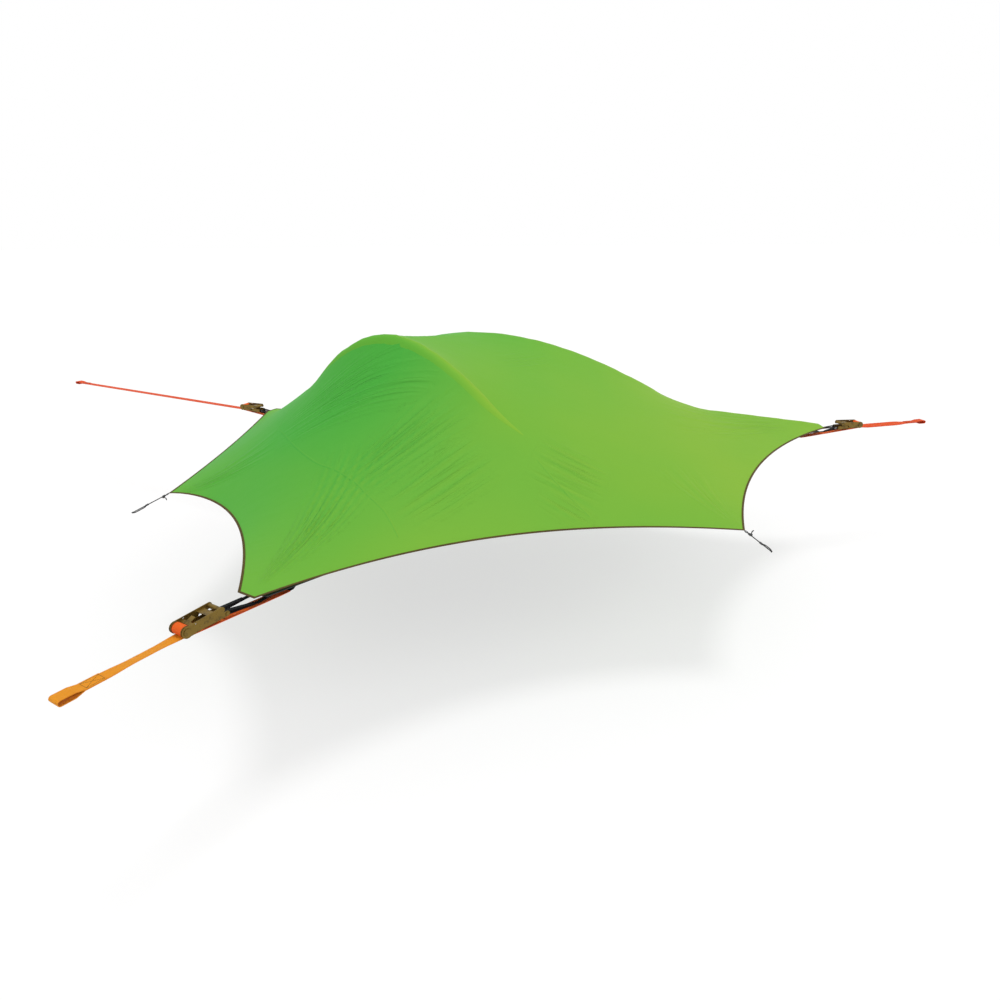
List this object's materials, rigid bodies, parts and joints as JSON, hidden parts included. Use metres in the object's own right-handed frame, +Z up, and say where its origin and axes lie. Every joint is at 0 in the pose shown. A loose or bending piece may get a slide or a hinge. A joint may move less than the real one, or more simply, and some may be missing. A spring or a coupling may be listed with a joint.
{
  "type": "tree tent",
  "caption": "Triangular tree tent with a green rain fly on arched poles, hung level by orange straps and ratchets at its corners.",
  "frame": {"origin": "the point where the lines of the three straps meet, in the plane of the tent's three corners", "axes": "+Z up, +X towards the right-hand corner, along the tent's line of symmetry in plan; the two left-hand corners lie at 136.6 degrees to +X on either side"},
  "size_m": [6.3785, 5.1689, 0.932],
  "materials": {
    "fly_fabric": "plain woven, slightly shiny",
    "edge_tape": "folded tape",
    "mesh_fabric": "fine net",
    "floor_fabric": "coated, matt",
    "black_webbing": "woven webbing",
    "orange_webbing": "woven webbing",
    "plated_steel": "yellow plated",
    "pole_alloy": "satin",
    "black_plastic": "moulded",
    "dark_cord": "braided"
  },
  "bodies": {
    "tent": {"back_edge_webbing": "black_webbing", "back_guy_cord": "dark_cord", "back_guy_ring": "black_webbing", "back_left_corner_sling": "black_webbing", "back_left_end_bolt": "plated_steel", "back_left_floor_patch": "black_webbing", "back_left_ratchet_frame": "plated_steel", "back_left_strap": "orange_webbing", "back_left_strap_tail": "orange_webbing", "door_flap": "mesh_fabric", "floor": "floor_fabric", "fly": "fly_fabric", "fly_edge_binding": "edge_tape", "front_edge_webbing": "black_webbing", "front_guy_cord": "dark_cord", "front_guy_ring": "black_webbing", "front_left_corner_sling": "black_webbing", "front_left_end_bolt": "plated_steel", "front_left_floor_patch": "black_webbing", "front_left_ratchet_frame": "plated_steel", "front_left_strap": "orange_webbing", "front_left_strap_tail": "orange_webbing", "front_pole": "pole_alloy", "front_pole_left_foot": "black_plastic", "front_pole_right_foot": "black_plastic", "left_edge_webbing": "black_webbing", "left_guy_cord": "dark_cord", "left_guy_ring": "black_webbing", "long_pole": "pole_alloy", "long_pole_left_foot": "black_plastic", "long_pole_right_foot": "black_plastic", "mesh_canopy": "mesh_fabric", "right_corner_sling": "black_webbing", "right_end_bolt": "plated_steel", "right_floor_patch": "black_webbing", "right_ratchet_frame": "plated_steel", "right_strap": "orange_webbing", "right_strap_tail": "orange_webbing"},
    "back_runner": {"back_guy_runner": "black_plastic"},
    "back_left_drive": {"back_left_drive_pawl": "plated_steel"},
    "back_left_lock": {"back_left_lock_pawl": "plated_steel"},
    "back_left_handle": {"back_left_ratchet_handle": "plated_steel"},
    "back_left_spool": {"back_left_ratchet_spool": "plated_steel", "back_left_strap_winding": "orange_webbing"},
    "front_runner": {"front_guy_runner": "black_plastic"},
    "front_left_drive": {"front_left_drive_pawl": "plated_steel"},
    "front_left_lock": {"front_left_lock_pawl": "plated_steel"},
    "front_left_handle": {"front_left_ratchet_handle": "plated_steel"},
    "front_left_spool": {"front_left_ratchet_spool": "plated_steel", "front_left_strap_winding": "orange_webbing"},
    "left_runner": {"left_guy_runner": "black_plastic"},
    "right_drive": {"right_drive_pawl": "plated_steel"},
    "right_lock": {"right_lock_pawl": "plated_steel"},
    "right_handle": {"right_ratchet_handle": "plated_steel"},
    "right_spool": {"right_ratchet_spool": "plated_steel", "right_strap_winding": "orange_webbing"}
  },
  "joints": [
    {"name": "front_left_spool_turn", "type": "hinge", "parent": "tent", "child": "front_left_spool", "pos_m": [-1.77866, -1.68199, 0.021], "axis": [0.6871, -0.7266, 0], "continuous": true},
    {"name": "front_left_handle_lift", "type": "hinge", "parent": "tent", "child": "front_left_handle", "pos_m": [-1.77866, -1.68199, 0.021], "axis": [0.6871, -0.7266, 0], "range_deg": [0, 150]},
    {"name": "front_left_drive_pawl_pull", "type": "slide", "parent": "front_left_handle", "child": "front_left_drive", "axis": [0.6585, 0.6227, 0.4226], "range_m": [0, 0.0055], "stiffness_N_per_m": 400, "springref_m": -0.004},
    {"name": "front_left_lock_pawl_pull", "type": "slide", "parent": "tent", "child": "front_left_lock", "axis": [0.7018, 0.6637, -0.2588], "range_m": [0, 0.0055], "stiffness_N_per_m": 400, "springref_m": -0.004},
    {"name": "back_left_spool_turn", "type": "hinge", "parent": "tent", "child": "back_left_spool", "pos_m": [-1.77866, 1.68199, 0.021], "axis": [-0.6871, -0.7266, 0], "continuous": true},
    {"name": "back_left_handle_lift", "type": "hinge", "parent": "tent", "child": "back_left_handle", "pos_m": [-1.77866, 1.68199, 0.021], "axis": [-0.6871, -0.7266, 0], "range_deg": [0, 150]},
    {"name": "back_left_drive_pawl_pull", "type": "slide", "parent": "back_left_handle", "child": "back_left_drive", "axis": [0.6585, -0.6227, 0.4226], "range_m": [0, 0.0055], "stiffness_N_per_m": 400, "springref_m": -0.004},
    {"name": "back_left_lock_pawl_pull", "type": "slide", "parent": "tent", "child": "back_left_lock", "axis": [0.7018, -0.6637, -0.2588], "range_m": [0, 0.0055], "stiffness_N_per_m": 400, "springref_m": -0.004},
    {"name": "right_spool_turn", "type": "hinge", "parent": "tent", "child": "right_spool", "pos_m": [2.448, 0, 0.021], "axis": [0, 1, 0], "continuous": true},
    {"name": "right_handle_lift", "type": "hinge", "parent": "tent", "child": "right_handle", "pos_m": [2.448, 0, 0.021], "axis": [0, 1, 0], "range_deg": [0, 150]},
    {"name": "right_drive_pawl_pull", "type": "slide", "parent": "right_handle", "child": "right_drive", "axis": [-0.9063, 0, 0.4226], "range_m": [0, 0.0055], "stiffness_N_per_m": 400, "springref_m": -0.004},
    {"name": "right_lock_pawl_pull", "type": "slide", "parent": "tent", "child": "right_lock", "axis": [-0.9659, 0, -0.2588], "range_m": [0, 0.0055], "stiffness_N_per_m": 400, "springref_m": -0.004},
    {"name": "left_runner_slide", "type": "slide", "parent": "tent", "child": "left_runner", "axis": [-0.907, 0, -0.4212], "range_m": [-0.03, 0.03]},
    {"name": "front_runner_slide", "type": "slide", "parent": "tent", "child": "front_runner", "axis": [0.3517, -0.8765, -0.3287], "range_m": [-0.03, 0.03]},
    {"name": "back_runner_slide", "type": "slide", "parent": "tent", "child": "back_runner", "axis": [0.3517, 0.8765, -0.3287], "range_m": [-0.03, 0.03]}
  ]
}
